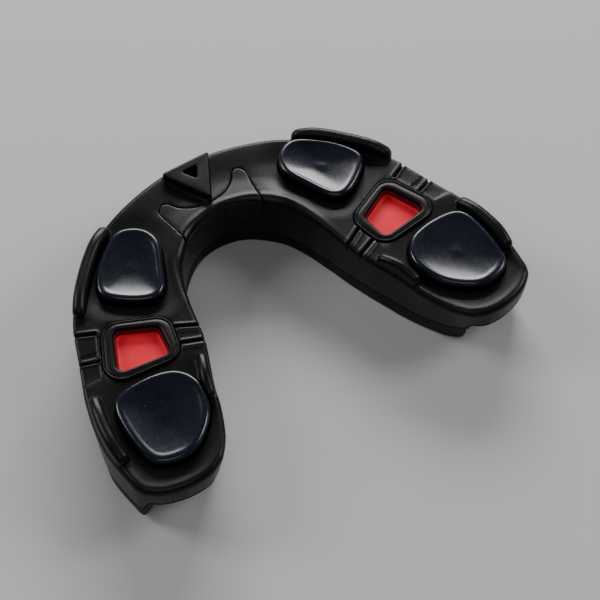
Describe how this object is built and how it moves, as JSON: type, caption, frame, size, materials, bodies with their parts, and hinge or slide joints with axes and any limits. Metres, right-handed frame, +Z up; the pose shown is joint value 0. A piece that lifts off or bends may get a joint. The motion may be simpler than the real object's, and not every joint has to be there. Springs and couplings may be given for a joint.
{
  "type": "boxing mouthguard",
  "caption": "Horseshoe-shaped mouthguard with a ribbed black rubber frame, gel liner, glossy bite pads and red shock inserts seen through framed windows.",
  "frame": {"origin": "centre of the base, under the middle of the overall box, at the level of the flange rims that it rests on", "axes": "underside up, as it lies on a table: +Z up through the bite pads, +Y towards the front of the arch, +X towards the right arm with the arch's opening facing -Y"},
  "size_m": [0.0642, 0.0453, 0.0122],
  "materials": {
    "frame": "matte black moulded rubber with a fine grain",
    "liner": "matte black soft gel rubber",
    "bridge": "matte black moulded rubber",
    "bite_pad": "glossy blue-black elastomer",
    "bezel": "satin black rubber",
    "insert": "satin red elastomer"
  },
  "bodies": {
    "root": {"outer_frame": "frame", "gel_liner": "liner", "front_bridge": "bridge", "front_bite_pad_left": "bite_pad", "front_bite_pad_right": "bite_pad", "rear_bite_pad_left": "bite_pad", "rear_bite_pad_right": "bite_pad", "window_bezel_left": "bezel", "window_bezel_right": "bezel", "shock_insert_left": "insert", "shock_insert_right": "insert"}
  },
  "joints": []
}
